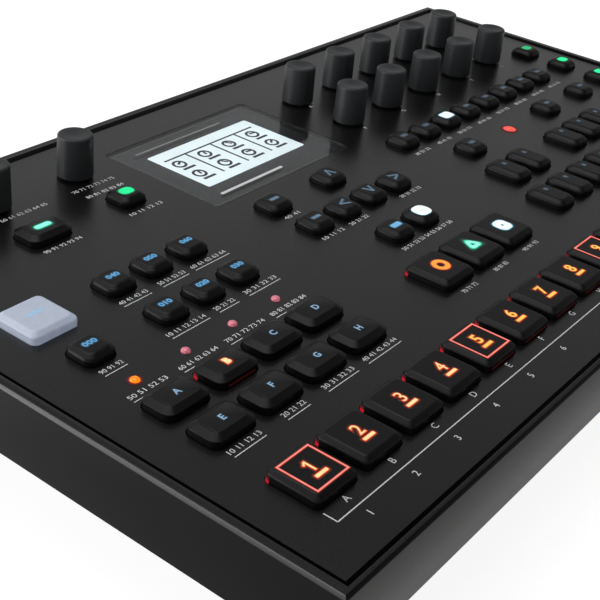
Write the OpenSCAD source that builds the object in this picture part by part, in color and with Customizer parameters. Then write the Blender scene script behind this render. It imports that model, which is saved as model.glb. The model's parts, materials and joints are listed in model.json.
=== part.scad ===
// Desktop analog synthesizer with a sloping control panel, millimetres, +Z up, resting on its feet at Z = 0.
// Most modules use the panel frame: x from the middle of the case, y from its front edge, z above the panel.

/* [Case] */
// Width of the upper case
case_width = 385; // [384:1:390]
// Depth of the upper case along the panel
case_depth = 222; // [221:1:228]
// Height of the upper case walls
wall_height = 22; // [21:0.5:25]
// Slope of the panel in degrees
panel_slope = 7; // [6:0.5:8]
// Height of the lower front edge of the upper case above the desk
front_rise = 19.5; // [18.5:0.5:24]
// Width of the rim at the sides and the back
side_rim = 3.6; // [3.2:0.1:4.4]
// Width of the rim at the front
front_rim = 2.2; // [2.2:0.1:3]
// Height of the rim above the panel
rim_lift = 0.9; // [0.4:0.1:1.2]
// Chamfer along the rim's outer edge
edge_chamfer = 0.9; // [0.5:0.1:1.4]
// Sheet thickness of the upper case walls
case_wall = 2; // [1.8:0.1:2.2]

/* [Panel] */
// Thickness of the top panel
panel_thickness = 2.5; // [2.3:0.1:2.8]
// Width of the display window
window_width = 79; // [76:0.5:80]
// Depth of the display window
window_depth = 55.6; // [54:0.2:56]

/* [Keys] */
// Space between neighbouring step keys
key_spacing = 3.26; // [2.8:0.02:4]
// Space between the two rows of bar keys
bar_spacing = 4.2; // [3.6:0.1:5]
// Space between neighbouring small keys
small_spacing = 4.93; // [4.2:0.01:5.6]
// Space between the two rows of note keys
note_spacing = 5.8; // [4:0.1:7]
// Height of the key tops above the panel
key_rise = 3.5; // [3:0.1:4.2]
// Travel of a key
key_travel = 1.2; // [0.8:0.1:1.4]

/* [Knobs] */
// Diameter of a knob
knob_diameter = 13.1; // [12.8:0.1:13.8]
// Height of a knob's top above the panel
knob_top = 16.3; // [15:0.1:18]
// Distance from the last data knob to the case's right side
knob_margin = 46.2; // [44:0.1:50]

/* [Lower case] */
// Height of the rubber feet
foot_height = 8; // [7:0.5:9]
// Diameter of the rubber feet
foot_diameter = 16; // [14:0.5:18]
// Spacing of the four threaded holes in the base
base_hole_spacing = 100; // [75:25:100]
// Space between the bodies of neighbouring jacks
jack_spacing = 3; // [2:0.1:4]

/* [Hidden] */
fine = 48;
joint_gap = 0.3;
key_gap = 0.35;
panel_gap = 1.8;
ledge = 4;
ledge_depth = 1.6;
under_ledge = -panel_thickness - ledge_depth;
sheet = 2;

// Heights under the panel
board_thickness = 1.6;
board_margins = [14, 16];
switch_side = 6;
switch_room = 6.3;
stem_length = 1.2;
board_top = -panel_thickness - key_travel - switch_room;
board_bottom = board_top - board_thickness;
flange_top = -panel_thickness - joint_gap;
flange_bottom = flange_top - 1;
switch_top = flange_bottom - stem_length - key_travel - joint_gap;

// The panel frame's place, the lower case's tub and the main board
shift_y = -(case_depth * cos(panel_slope) + wall_height * sin(panel_slope)) / 2;
front_z = front_rise + wall_height * cos(panel_slope);
tub_insets = [25, 20, 10];
case_half = case_width / 2;
tub_half = case_half - tub_insets[0];
tub_front = shift_y + tub_insets[1];
tub_back = shift_y + case_depth * cos(panel_slope) - tub_insets[2];
tub_mid = (tub_front + tub_back) / 2;
floor_top = foot_height + sheet;
main_z = floor_top + 6;
main_top = main_z + board_thickness;

// Display
window_x = -28.7;
window_y = case_depth - 50.2;
window_thickness = 1.6;
window_left = window_x - window_width / 2;
window_front = window_y - window_depth / 2;
lcd_size = [62, 36];

// Columns: the step row fills the width between its margins, the page keys the right half up to theirs
row_margins = [28.72, 25.72];
row_middle = (row_margins[0] - row_margins[1]) / 2;
key_pitch = (case_width - row_margins[0] - row_margins[1]) / 16;
key_size = key_pitch - key_spacing;
column_x = row_middle - 8 * key_pitch;
page_x = 30.5;
page_margin = 47.69;
small_pitch = (case_half - page_margin - page_x) / 7;
small_key = small_pitch - small_spacing;
mode_x = column_x + 30.88;
arrow_x = -21.2;
side_x = case_half - 21.7;

// Rows: spread over the room between the step row and the window
step_y = 31.3;
drawn_room = 112.7;
spread = (window_front - step_y) / drawn_room;
bank_y = step_y + 29.5 * spread;
bank_pitch = 16 * spread;
bar_key_depth = bank_pitch - bar_spacing;
transport_y = step_y + 32.7 * spread;
note_y = step_y + 33.5 * spread;
note_pitch = 22.4 * spread;
note_key_length = note_pitch - note_spacing;
pair_y = step_y + 58.7 * spread;
lamp_y = step_y + 60.1 * spread;
lower_y = step_y + 77.5 * spread;
single_y = step_y + 77.9 * spread;
side_y = step_y + 80.3 * spread;
side_pitch = 19.6 * spread;
arrow_y = step_y + 81.1 * spread;
upper_y = step_y + 99.5 * spread;
page_y = step_y + 99.9 * spread;
mode_pitch = [small_pitch + 0.27, 21.8 * spread];
selector_y = case_depth - 53;

// Knobs and their encoders
left_knob_x = 28.5 - case_half;
left_knob_y = case_depth - 27.8;
left_knob_pitch = (window_left - 20 - left_knob_x) / 2;
data_x = 31.9;
knob_pitch = (case_half - knob_margin - data_x) / 4;
data_back_y = case_depth - 36;
data_front_y = case_depth - 62.8;
shaft_diameter = 6;
bushing_bore = shaft_diameter + 0.1;
bushing_diameter = 7;
encoder_side = 12;
left_knob_places = [for (k = [0:2]) [left_knob_x + k * left_knob_pitch, left_knob_y]];
data_knob_places = [for (y = [data_back_y, data_front_y], k = [0:4]) [data_x + k * knob_pitch, y]];
knob_places = concat(left_knob_places, data_knob_places);

function row_x(k) = column_x + k * key_pitch;
function small_x(k) = page_x + k * small_pitch;

step_places = [for (k = [0:15]) [row_x(k), step_y]];
transport_places = [for (k = [0:2]) [row_middle + (k - 2.5) * key_pitch, transport_y]];
function_place = [column_x, upper_y];
bank_places = [for (r = [0:1], k = [0:3]) [row_x(k), bank_y + bank_pitch * r]];
performance_place = [column_x, lower_y];
mode_places = concat([performance_place],
    [for (r = [0:1], k = [0:2]) [mode_x + k * mode_pitch[0], lower_y + r * mode_pitch[1]]]);
arrow_places = [for (k = [-2:1]) [arrow_x + k * small_pitch, arrow_y]];
navigation_places = concat(arrow_places, [for (k = [-2, 0]) [arrow_x + k * small_pitch, upper_y]],
    [for (k = [-1, 0]) [arrow_x + k * small_pitch, pair_y]]);
page_places = concat([for (k = [0:7]) [small_x(k), page_y]], [for (k = [1, 5, 7]) [small_x(k), single_y]]);
sequence_page_place = [row_x(16), step_y];
note_places = concat([for (k = [0:7]) [small_x(k), note_y]],
    [for (k = [0, 1, 3, 4, 5]) [small_x(k + 0.5), note_y + note_pitch]]);
wide_selector_place = [left_knob_places[1][0] - 0.4, selector_y];
selector_places = concat([[left_knob_places[2][0] - 0.1, selector_y]],
    [for (k = [0:2]) [side_x, side_y + side_pitch * k]]);
lamp_places = concat([for (k = [0:3]) [row_x(k) - 0.5, lamp_y]], [[small_x(3), single_y]]);
square_places = concat(step_places, transport_places, [function_place, sequence_page_place]);
bar_places = concat(bank_places, [wide_selector_place]);
small_places = concat(mode_places, navigation_places, page_places, selector_places);
key_places = concat(square_places, bar_places, small_places, note_places);

// Screws and posts
screw_inset = 9;
screw_front = 7.5;
screw_rows = [screw_front, case_depth / 2, case_depth - screw_inset];
screw_places = concat([for (s = [-1, 1], y = screw_rows) [s * (case_half - screw_inset), y]],
    [for (s = [-1, 1]) [s * case_half / 3, screw_front]]);
post_row = (step_y + key_size / 2 + bank_y - bar_key_depth / 2) / 2;
post_x = case_half - 28.5;
post_back = case_depth - 18;
mode_end = mode_x + 2 * mode_pitch[0];
panel_posts = concat([for (k = [-1, -0.5, 0, 0.6, 1]) [k * post_x, post_row]], [
    [(mode_end + arrow_x - 2 * small_pitch) / 2, (lower_y + upper_y) / 2],
    [(arrow_x + small_pitch + page_x) / 2, arrow_y],
    [left_knob_x + left_knob_pitch / 2, left_knob_y - 12.2],
    [window_left - 10, post_back], [data_x - 10, post_back], [data_x + 2.4 * knob_pitch, post_back],
    [post_x, left_knob_y - 4]]);
main_posts = [for (k = [-1:1], y = [tub_front + 22, tub_back - 50]) [k * (tub_half - 27.5), y]];
base_holes = [for (x = [-1, 1], y = [-1, 1])
    [x * base_hole_spacing / 2, tub_mid + y * base_hole_spacing / 2]];

// Sockets side by side in the rear wall's window, from the right end of the tub to its left end
strip_ends = [26.5, 5.5];
strip_height = 20;
strip_z = main_top + 8.5;
strip_left = strip_ends[0] - tub_half;
strip_right = tub_half - strip_ends[1];
unit_width = 20;
rocker_x = strip_right - unit_width / 2;
inlet_x = rocker_x - unit_width;
usb_x = inlet_x - unit_width;
din_pitch = 21;
din_start = usb_x - unit_width / 2;
din_x = [for (k = [2:-1:0]) din_start - (k + 0.5) * din_pitch];
jack_start = din_start - 3 * din_pitch;
jack_pitch = (jack_start - strip_left) / 10;
jack_x = [for (k = [0:9]) jack_start - (k + 0.5) * jack_pitch];
jack_body = [jack_pitch - jack_spacing, 22, 14.5];
jack_barrel = 10.5;
jack_bore = 6.5;
din_body = [18, 13, 17];
din_barrel = 15.6;
din_bore = 13.4;
din_pin_radius = 4.75;
usb_size = [12, 11];
inlet_body = [11, 14, 14];
inlet_barrel = 10;
rocker_depth = 4;
rocker_tip = 7;
rocker_housing = [13, 2 * (strip_z - main_top - joint_gap)];

// Height of the upper case's lower edge at a place on the desk.
function under_z(y) = front_rise + (y - shift_y - wall_height * sin(panel_slope)) * tan(panel_slope);

// Places children of the panel frame on the sloping panel.
module on_panel() translate([0, shift_y, front_z]) rotate([panel_slope, 0, 0]) children();

// Points children's +Z to the back, for what sits in the rear wall.
module to_back() rotate([-90, 0, 0]) children();

// Copies children to each place of the panel frame.
module at_each(places) for (p = places) translate([p[0], p[1], 0]) children();

// Round bar from one height to another.
module bar(low, high, d) translate([0, 0, low]) cylinder(h = high - low, d = d, $fn = fine);

// Flat rounded rectangle.
module rounded(w, d, r) {
    square([w - 2 * r, d], center = true);
    square([w, d - 2 * r], center = true);
    for (x = [-1, 1], y = [-1, 1]) translate([x * (w / 2 - r), y * (d / 2 - r)]) circle(r, $fn = fine);
}

// Roof-shaped bar whose sloping sides cut a key's chamfers.
module roof(w, l, inset, drop) {
    eaves = key_rise - drop - drop / inset;
    rotate([90, 0, 0]) linear_extrude(l, center = true) polygon([
        [-w / 2 - 1, flange_bottom - 1], [w / 2 + 1, flange_bottom - 1], [w / 2 + 1, eaves],
        [w / 2 - inset, key_rise], [inset - w / 2, key_rise], [-w / 2 - 1, eaves]]);
}

// One key: chamfered cap, retaining flange under the panel and a stem over its switch.
module key(w, d, r, inset, drop) {
    intersection() {
        translate([0, 0, flange_bottom]) linear_extrude(key_rise - flange_bottom) rounded(w, d, r);
        roof(w, d + 4, inset, drop);
        rotate([0, 0, 90]) roof(d, w + 4, inset, drop);
    }
    translate([0, 0, flange_bottom]) linear_extrude(flange_top - flange_bottom)
        rounded(w + 1.8, d + 1.8, r + 0.9);
    bar(flange_bottom - stem_length, flange_bottom + 0.5, 4);
}
module square_key() key(key_size, key_size, 2, 1.5, 1.3);
module bar_key() key(key_size, bar_key_depth, 3, 2, 1.3);
module small_round_key() key(small_key, small_key, 3, 1.8, 1.4);
module note_key() key(small_key, note_key_length, 3, 1.8, 1.4);

// Opening of the panel around a key.
module key_opening(w, d, r) translate([0, 0, -panel_thickness - 1]) linear_extrude(panel_thickness + 2)
    rounded(w + 2 * key_gap, d + 2 * key_gap, r + key_gap);

// One knob: tapered cap with a dished top, and the encoder shaft pressed into it.
module knob() {
    r = knob_diameter / 2;
    hollow = [5.5, 4.8];
    roof_thickness = 4;
    shaft_bore = shaft_diameter / 2 + 0.02;
    rotate_extrude($fn = fine) polygon([[hollow[0], 1], [r, 1], [r - 0.25, knob_top - 0.9],
        [r - 0.55, knob_top - 0.25], [r - 1.1, knob_top], [r - 1.6, knob_top - 0.1],
        [0, knob_top - 0.7], [0, knob_top - roof_thickness], [shaft_bore, knob_top - roof_thickness],
        [shaft_bore, hollow[1]], hollow]);
    bar(-1.5, knob_top - roof_thickness - 0.2, shaft_diameter);
}

// Bar across the case, chamfered along both upper edges, from y = 0 forwards.
module chamfered_bar(width, length) {
    low = rim_lift - edge_chamfer;
    rotate([90, 0, 0]) linear_extrude(length) polygon([
        [-width / 2, -wall_height], [width / 2, -wall_height], [width / 2, low],
        [width / 2 - edge_chamfer, rim_lift], [edge_chamfer - width / 2, rim_lift], [-width / 2, low]]);
}

// Box between two insets from the case's sides and ends, from one height to another.
module inner_box(side, front, back, low, high) translate([side - case_width / 2, front, low])
    cube([case_width - 2 * side, case_depth - front - back, high - low]);

module upper_case() color("#26272a") on_panel() difference() {
    union() {
        difference() {
            intersection() {
                translate([0, case_depth, 0]) chamfered_bar(case_width, case_depth);
                translate([-case_width / 2 - 1, case_depth / 2, 0]) rotate([0, 0, 90])
                    chamfered_bar(case_depth, case_width + 2);
            }
            inner_box(side_rim, front_rim, side_rim, -panel_thickness, rim_lift + 1);
            inner_box(side_rim + ledge, front_rim + ledge, side_rim + ledge, under_ledge - 1, 0);
            inner_box(case_wall, case_wall, case_wall, -wall_height - 1, under_ledge);
        }
        at_each(screw_places) bar(sheet - wall_height, -panel_thickness, 7);
    }
    at_each(screw_places) bar(-wall_height, 13 - wall_height, 3.2);
}

// Side view of the lower case's tub, a margin inside its walls, up past the upper case's edge.
module tub_profile(margin, low, past) polygon([
    [tub_front + margin, low], [tub_back - margin, low],
    [tub_back - margin, under_z(tub_back) + past], [tub_front + margin, under_z(tub_front) + past]]);

module lower_case() color("#1d1e20") difference() {
    union() {
        on_panel() inner_box(case_wall + joint_gap, case_wall + joint_gap, case_wall + joint_gap,
            -wall_height, sheet - wall_height);
        translate([-tub_half, 0, 0]) rotate([90, 0, 90]) linear_extrude(2 * tub_half)
            tub_profile(0, foot_height, 1);
    }
    difference() {
        translate([sheet - tub_half, 0, 0]) rotate([90, 0, 90]) linear_extrude(2 * tub_half - 2 * sheet)
            tub_profile(sheet, floor_top, 9);
        at_each(base_holes) bar(foot_height, foot_height + 7, 9);
    }
    at_each(base_holes) bar(foot_height - 1, foot_height + 8, 3.3);
    on_panel() at_each(screw_places) bar(-wall_height - 1, sheet + 1 - wall_height, 3.4);
    translate([strip_left, tub_back - sheet - 1, strip_z - strip_height / 2])
        cube([strip_right - strip_left, sheet + 2, strip_height]);
}

// Faceplate of a socket in the rear wall's window, flush with the wall.
module faceplate(x, w) {
    h = strip_height - 2 * joint_gap;
    translate([x - (w - joint_gap) / 2, tub_back - sheet, strip_z - h / 2]) cube([w - joint_gap, sheet, h]);
}

// Body of a socket on the main board behind its faceplate.
module socket_body(x, size) translate([x - size[0] / 2, tub_back - sheet - size[1], main_top])
    cube([size[0], size[1] + 0.5, size[2]]);

// Round bar of a socket, its ends counted back from the wall's outer face.
module rear_bar(x, low, high, d) translate([x, tub_back, strip_z]) to_back() bar(low, high, d);

module top_panel() color("#2b2c2f") on_panel() difference() {
    inner_box(side_rim + panel_gap, front_rim + panel_gap, side_rim + panel_gap, -panel_thickness, 0);
    at_each(square_places) key_opening(key_size, key_size, 2);
    at_each(bar_places) key_opening(key_size, bar_key_depth, 3);
    at_each(small_places) key_opening(small_key, small_key, 3);
    at_each(note_places) key_opening(small_key, note_key_length, 3);
    at_each(knob_places) bar(-panel_thickness - 1, 1, bushing_diameter + 0.4);
    at_each(lamp_places) bar(-panel_thickness - 1, 1, 3.3);
    translate([window_x, window_y, -window_thickness]) linear_extrude(3)
        rounded(window_width + 0.4, window_depth + 0.4, 1.7);
    translate([window_x, window_y, -panel_thickness - 1]) linear_extrude(panel_thickness + 2)
        rounded(window_width - 5, window_depth - 5, 1.5);
}

module display_window() color("#15171b") on_panel() translate([window_x, window_y, -window_thickness])
    linear_extrude(window_thickness) rounded(window_width, window_depth, 1.5);

module display_module() color("#dfe6f2") on_panel() translate([window_x, window_y + 1.3, 0]) {
    translate([0, 0, -panel_thickness - 4.5]) linear_extrude(4.5)
        square([window_width - 3, window_depth - 6], center = true);
    translate([0, 0, -panel_thickness - 0.5]) linear_extrude(panel_thickness - 1.2)
        square(lcd_size, center = true);
}

module control_board() color("#1f5a34") on_panel() difference() {
    inner_box(board_margins[0], board_margins[1], board_margins[1], board_bottom, board_top);
    at_each(knob_places) bar(board_bottom - 1, board_top + 1, 3);
}

module key_switches() color("#3c3d40") on_panel() at_each(key_places) {
    translate([0, 0, board_top]) linear_extrude(switch_top - 0.8 - board_top)
        square(switch_side, center = true);
    bar(board_top, switch_top, 3.4);
}

module encoder_bodies() color("#8d9094") on_panel() at_each(knob_places) difference() {
    union() {
        translate([0, 0, board_top]) linear_extrude(-panel_thickness - board_top)
            square(encoder_side, center = true);
        bar(-panel_thickness - 1, 4, bushing_diameter);
    }
    bar(-2, 6, bushing_bore);
}

// Hexagon nut with a round hole.
module nut(corners, height, bore) difference() {
    cylinder(h = height, d = corners, $fn = 6);
    bar(-1, height + 1, bore);
}

// Nuts of the encoders on the panel.
module fixing_nuts() color("#9a9da2") on_panel() at_each(knob_places) nut(10.4, 2, bushing_diameter + 0.2);

module board_posts() color("#b59a55") {
    on_panel() at_each(panel_posts) bar(board_top, -panel_thickness, 5);
    at_each(main_posts) bar(floor_top, main_z, 6);
}

// Main board with its row of chips and its row of capacitors.
module main_board() color("#1f5a34") {
    side = 10;
    board_front = tub_front + 12;
    room = tub_half / 4;
    translate([side - tub_half, board_front, main_z])
        cube([2 * (tub_half - side), tub_back - board_front - sheet - joint_gap, board_thickness]);
    for (k = [-3:2]) translate([k * room, tub_front + 40, main_top - 0.5])
        cube([k % 2 == 0 ? 12 : 22, 22, 2.3]);
    for (k = [-3:3]) translate([k * room, tub_front + 72, 0]) bar(main_top - 0.5, main_top + 9, 8);
}

// Flat cable between the boards with a connector at each end.
module ribbon_cable() color("#8c8f94") {
    connector = [28, 9, 7];
    cable_y = case_depth / 2 - 7;
    upper_end = front_z + (cable_y + 4) * sin(panel_slope) + board_bottom - 4;
    on_panel() translate([-connector[0] / 2, cable_y, board_bottom - connector[2]]) cube(connector);
    translate([-11, shift_y + cable_y + 4, main_top]) cube([22, 1.2, upper_end - main_top]);
    translate([-connector[0] / 2, shift_y + cable_y, main_top]) cube(connector);
}

module status_lamps() color("#f2b6b6") on_panel() at_each(lamp_places) {
    bar(board_top, 0.2, 3);
    intersection() {
        translate([0, 0, -0.7]) sphere(r = 1.75, $fn = fine);
        bar(0, 2, 3);
    }
}

// Quarter-inch jacks.
module audio_jacks() color("#303236") for (x = jack_x) difference() {
    union() {
        faceplate(x, jack_pitch);
        socket_body(x, jack_body);
        rear_bar(x, -sheet, 1.2, jack_barrel);
    }
    rear_bar(x, -jack_body[1], 3, jack_bore);
}

// Round five-pin sockets.
module midi_sockets() color("#232427") for (x = din_x) difference() {
    union() {
        faceplate(x, din_pitch);
        socket_body(x, din_body);
        rear_bar(x, -sheet, 0.8, din_barrel);
    }
    rear_bar(x, -9, 3, din_bore);
    translate([x, tub_back, strip_z]) to_back() for (a = [0:45:180]) rotate([0, 0, a])
        translate([din_pin_radius, 0, 0]) bar(-13, -7, 1.6);
}

module usb_socket() color("#a5a8ac") difference() {
    union() {
        faceplate(usb_x, unit_width);
        translate([usb_x - usb_size[0] / 2, tub_back - 17, main_top]) cube([usb_size[0], 17.5, usb_size[1]]);
    }
    translate([usb_x - 4.3, tub_back - 9, main_top + 1.6]) cube([8.6, 12, 7.8]);
}

module power_inlet() color("#232427") {
    difference() {
        union() {
            faceplate(inlet_x, unit_width);
            socket_body(inlet_x, inlet_body);
            rear_bar(inlet_x, -sheet, 0.5, inlet_barrel);
        }
        rear_bar(inlet_x, -11, 3, 6.4);
    }
    rear_bar(inlet_x, -12, -1, 2);
}

// Housing of the rocker with its faceplate, bezel and pivot holes.
module power_switch() color("#1a1b1d") difference() {
    union() {
        faceplate(rocker_x, unit_width);
        translate([rocker_x - rocker_housing[0] / 2, tub_back - 15, strip_z - rocker_housing[1] / 2])
            cube([rocker_housing[0], 15, rocker_housing[1]]);
        translate([rocker_x - 7.6, tub_back - 0.5, strip_z - 9]) cube([15.2, 1.9, 18]);
    }
    translate([rocker_x - 4.9, tub_back - 12, strip_z - 7.4]) cube([9.8, 14, 14.8]);
    translate([rocker_x, tub_back - rocker_depth, strip_z]) rotate([0, 90, 0]) bar(-7, 7, 2.1);
}

// Rocker of the power switch, tipped to its off side, with its pivot pins.
module power_rocker() color("#101113") translate([rocker_x, tub_back - rocker_depth, strip_z])
    rotate([rocker_tip, 0, 0]) {
        translate([-4.5, 0, 0]) rotate([90, 0, 90]) linear_extrude(9)
            polygon([[-3, -4.6], [4, -5], [6.2, -6], [4.9, 0], [6.2, 6], [4, 5], [-3, 4.6]]);
        rotate([0, 90, 0]) bar(-6.2, 6.2, 2);
    }

module rubber_feet() color("#17181a") {
    r = foot_diameter / 2;
    recess = 4;
    for (x = [-1, 1], y = [tub_front + 14, tub_back - 14]) translate([x * (tub_half - 16), y, 0])
        rotate_extrude($fn = fine) polygon([[recess, 0], [r - 1.6, 0], [r - 0.8, 0.8], [r, foot_height],
            [0, foot_height], [0, foot_height - recess], [recess, foot_height - recess]]);
}

// Screw with a hexagon socket, its head under the base.
module case_screw() translate([0, 0, -wall_height]) difference() {
    union() {
        bar(-1.7, 0, 5.6);
        bar(-0.5, 10.5, 3);
    }
    translate([0, 0, -2]) cylinder(h = 1.3, d = 2.3, $fn = 6);
}
module case_screws() color("#5a5c60") on_panel() at_each(screw_places) case_screw();

module knob_on_panel(place) color("#3a3d42") on_panel() at_each([place]) knob();
module volume_knob() knob_on_panel(left_knob_places[0]);
module level_knob() knob_on_panel(left_knob_places[1]);
module sound_knob() knob_on_panel(left_knob_places[2]);
module data_knob_a() knob_on_panel(data_knob_places[0]);
module data_knob_b() knob_on_panel(data_knob_places[1]);
module data_knob_c() knob_on_panel(data_knob_places[2]);
module data_knob_d() knob_on_panel(data_knob_places[3]);
module data_knob_e() knob_on_panel(data_knob_places[4]);
module data_knob_f() knob_on_panel(data_knob_places[5]);
module data_knob_g() knob_on_panel(data_knob_places[6]);
module data_knob_h() knob_on_panel(data_knob_places[7]);
module data_knob_i() knob_on_panel(data_knob_places[8]);
module data_knob_j() knob_on_panel(data_knob_places[9]);

// Black keys at some places, all of one form.
module black_keys(places) color("#1b1a1b") on_panel() at_each(places) children();
module step_key(k) black_keys([step_places[k]]) square_key();
module step_key_01() step_key(0);
module step_key_02() step_key(1);
module step_key_03() step_key(2);
module step_key_04() step_key(3);
module step_key_05() step_key(4);
module step_key_06() step_key(5);
module step_key_07() step_key(6);
module step_key_08() step_key(7);
module step_key_09() step_key(8);
module step_key_10() step_key(9);
module step_key_11() step_key(10);
module step_key_12() step_key(11);
module step_key_13() step_key(12);
module step_key_14() step_key(13);
module step_key_15() step_key(14);
module step_key_16() step_key(15);

module record_key() black_keys([transport_places[0]]) square_key();
module play_key() black_keys([transport_places[1]]) square_key();
module stop_key() black_keys([transport_places[2]]) square_key();
module function_key() color("#e8eaee") on_panel() at_each([function_place]) square_key();
module bank_keys() black_keys(bank_places) bar_key();
module mode_keys() black_keys(mode_places) small_round_key();
module navigation_keys() black_keys(navigation_places) small_round_key();
module page_keys() {
    black_keys(page_places) small_round_key();
    black_keys([sequence_page_place]) square_key();
}
module note_keys() black_keys(note_places) note_key();
module selector_keys() {
    black_keys(selector_places) small_round_key();
    black_keys([wide_selector_place]) bar_key();
}

upper_case();
lower_case();
top_panel();
display_window();
display_module();
control_board();
key_switches();
encoder_bodies();
fixing_nuts();
board_posts();
main_board();
ribbon_cable();
status_lamps();
audio_jacks();
midi_sockets();
usb_socket();
power_inlet();
power_switch();
rubber_feet();
case_screws();
power_rocker();
volume_knob();
level_knob();
sound_knob();
data_knob_a();
data_knob_b();
data_knob_c();
data_knob_d();
data_knob_e();
data_knob_f();
data_knob_g();
data_knob_h();
data_knob_i();
data_knob_j();
step_key_01();
step_key_02();
step_key_03();
step_key_04();
step_key_05();
step_key_06();
step_key_07();
step_key_08();
step_key_09();
step_key_10();
step_key_11();
step_key_12();
step_key_13();
step_key_14();
step_key_15();
step_key_16();
record_key();
play_key();
stop_key();
function_key();
bank_keys();
mode_keys();
navigation_keys();
page_keys();
note_keys();
selector_keys();
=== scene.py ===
"""Looks of a desktop analog synthesizer: case, panel print, lit keys, knobs, display and rear sockets."""
import json
import logging
import math
from collections.abc import Callable, Iterator
from contextlib import contextmanager
from dataclasses import dataclass
from enum import Enum
from functools import cache

import bmesh
import bpy
from mathutils import Matrix, Vector


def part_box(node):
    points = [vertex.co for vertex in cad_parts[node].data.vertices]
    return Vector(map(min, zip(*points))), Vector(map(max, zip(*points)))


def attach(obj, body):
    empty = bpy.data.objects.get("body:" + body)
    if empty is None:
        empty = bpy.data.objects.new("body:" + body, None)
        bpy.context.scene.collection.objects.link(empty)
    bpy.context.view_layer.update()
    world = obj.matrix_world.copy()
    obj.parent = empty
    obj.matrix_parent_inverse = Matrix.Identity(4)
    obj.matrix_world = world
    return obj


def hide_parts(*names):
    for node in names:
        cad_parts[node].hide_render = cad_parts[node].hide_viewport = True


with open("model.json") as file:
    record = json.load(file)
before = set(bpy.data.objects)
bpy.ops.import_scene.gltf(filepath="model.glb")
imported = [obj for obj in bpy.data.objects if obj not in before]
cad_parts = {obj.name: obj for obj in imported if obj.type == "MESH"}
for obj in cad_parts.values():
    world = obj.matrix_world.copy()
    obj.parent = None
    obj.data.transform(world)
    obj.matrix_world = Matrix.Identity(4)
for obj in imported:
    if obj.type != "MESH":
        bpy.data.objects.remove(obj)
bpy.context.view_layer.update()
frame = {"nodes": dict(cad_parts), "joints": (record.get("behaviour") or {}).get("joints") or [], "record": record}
MM = 0.001
LOG = logging.getLogger("synthesizer")

Colour = tuple[float, float, float]
Place = tuple[float, float]
Mesh = bpy.types.Mesh
Object = bpy.types.Object
Material = bpy.types.Material
Socket = bpy.types.NodeSocket

# Cosines over which a face counts as level, and as quite flat.
LEVEL, FLAT = 0.9, 0.99


class Slot(str, Enum):
    """Material slots of the record."""

    CASE = "case_metal"
    PANEL = "panel_metal"
    BASE = "base_metal"
    GLASS = "window_glass"
    DISPLAY = "display"
    BOARD = "circuit_board"
    PLASTIC = "black_plastic"
    STEEL = "steel"
    BRASS = "brass"
    CABLE = "cable"
    LAMP = "lamp"
    RUBBER = "rubber"
    KNOB = "knob_plastic"
    KEY = "key_plastic"
    WHITE = "white_key"


class Pick(Enum):
    """Mesh elements that can be selected, with the name of their list."""

    EDGE = "edges"
    FACE = "faces"


# Octaves of every noise, and the part of its range that is used.
NOISE_DETAIL = 3.0
NOISE_RANGE = (0.3, 0.7)
# A patch of mottling is this many grains and millimetres wide; grain is this deep for its size.
PATCH_GRAINS, PATCH_LEAST = 60.0, 8.0
GRAIN_DEPTH = 0.1


class NodeSheet:
    """A node tree, with short calls for what the finishes share."""

    def __init__(self, owner: bpy.types.ID, shader: str) -> None:
        """Opens the node tree of a material or a world.

        Args:
            owner: The material or world.
            shader: Name of the node that the others feed.
        """
        owner.use_nodes = True
        self.owner = owner
        self.tree = owner.node_tree
        self.shader = self.tree.nodes[shader]

    @classmethod
    def of_material(cls, name: str) -> "NodeSheet":
        """Starts a material with one principled shader."""
        return cls(bpy.data.materials.new(name), "Principled BSDF")

    def node(self, kind: str, **sockets: object) -> bpy.types.Node:
        """Adds a node and sets input sockets, an underscore standing for a space.

        Args:
            kind: Node type without its ShaderNode prefix.
            sockets: Values of input sockets.

        Returns:
            The new node.
        """
        made = self.tree.nodes.new("ShaderNode" + kind)
        for name, value in sockets.items():
            made.inputs[name.replace("_", " ")].default_value = value
        return made

    def link(self, source: Socket, target: Socket) -> None:
        """Joins an output to an input."""
        self.tree.links.new(source, target)

    def set(self, **sockets: object) -> None:
        """Sets the shader's own sockets, an underscore standing for a space."""
        for name, value in sockets.items():
            self.shader.inputs[name.replace("_", " ")].default_value = value

    def noise(self, size: float, stretch: Colour = (1.0, 1.0, 1.0)) -> Socket:
        """Adds noise on object coordinates.

        Args:
            size: Feature size in millimetres.
            stretch: Factor on the frequency along each axis.

        Returns:
            The noise's factor socket.
        """
        coordinates = self.node("TexCoord")
        mapping = self.node("Mapping", Scale=stretch)
        noise = self.node("TexNoise", Scale=1.0 / (size * MM), Detail=NOISE_DETAIL)
        self.link(coordinates.outputs["Object"], mapping.inputs["Vector"])
        self.link(mapping.outputs["Vector"], noise.inputs["Vector"])
        return noise.outputs["Fac"]

    def spread(self, value: Socket, low: float, high: float) -> Socket:
        """Maps noise to a range and returns the result's socket."""
        least, most = NOISE_RANGE
        ranged = self.node("MapRange", From_Min=least, From_Max=most, To_Min=low, To_Max=high)
        self.link(value, ranged.inputs["Value"])
        return ranged.outputs["Result"]

    def blend(self, factor: Socket, first: Colour, second: Colour) -> Socket:
        """Mixes two colours and returns the mixed colour's socket."""
        mix = self.tree.nodes.new("ShaderNodeMix")
        mix.data_type = "RGBA"
        mix.inputs[6].default_value = (*first, 1.0)
        mix.inputs[7].default_value = (*second, 1.0)
        self.link(factor, mix.inputs[0])
        return mix.outputs[2]

    def relief(self, height: Socket, strength: float, depth: float) -> None:
        """Bumps the shader's normal.

        Args:
            height: Socket of the height.
            strength: Strength of the bump.
            depth: Depth in millimetres.
        """
        bump = self.node("Bump", Strength=strength, Distance=depth * MM)
        self.link(height, bump.inputs["Height"])
        self.link(bump.outputs["Normal"], self.shader.inputs["Normal"])


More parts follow.
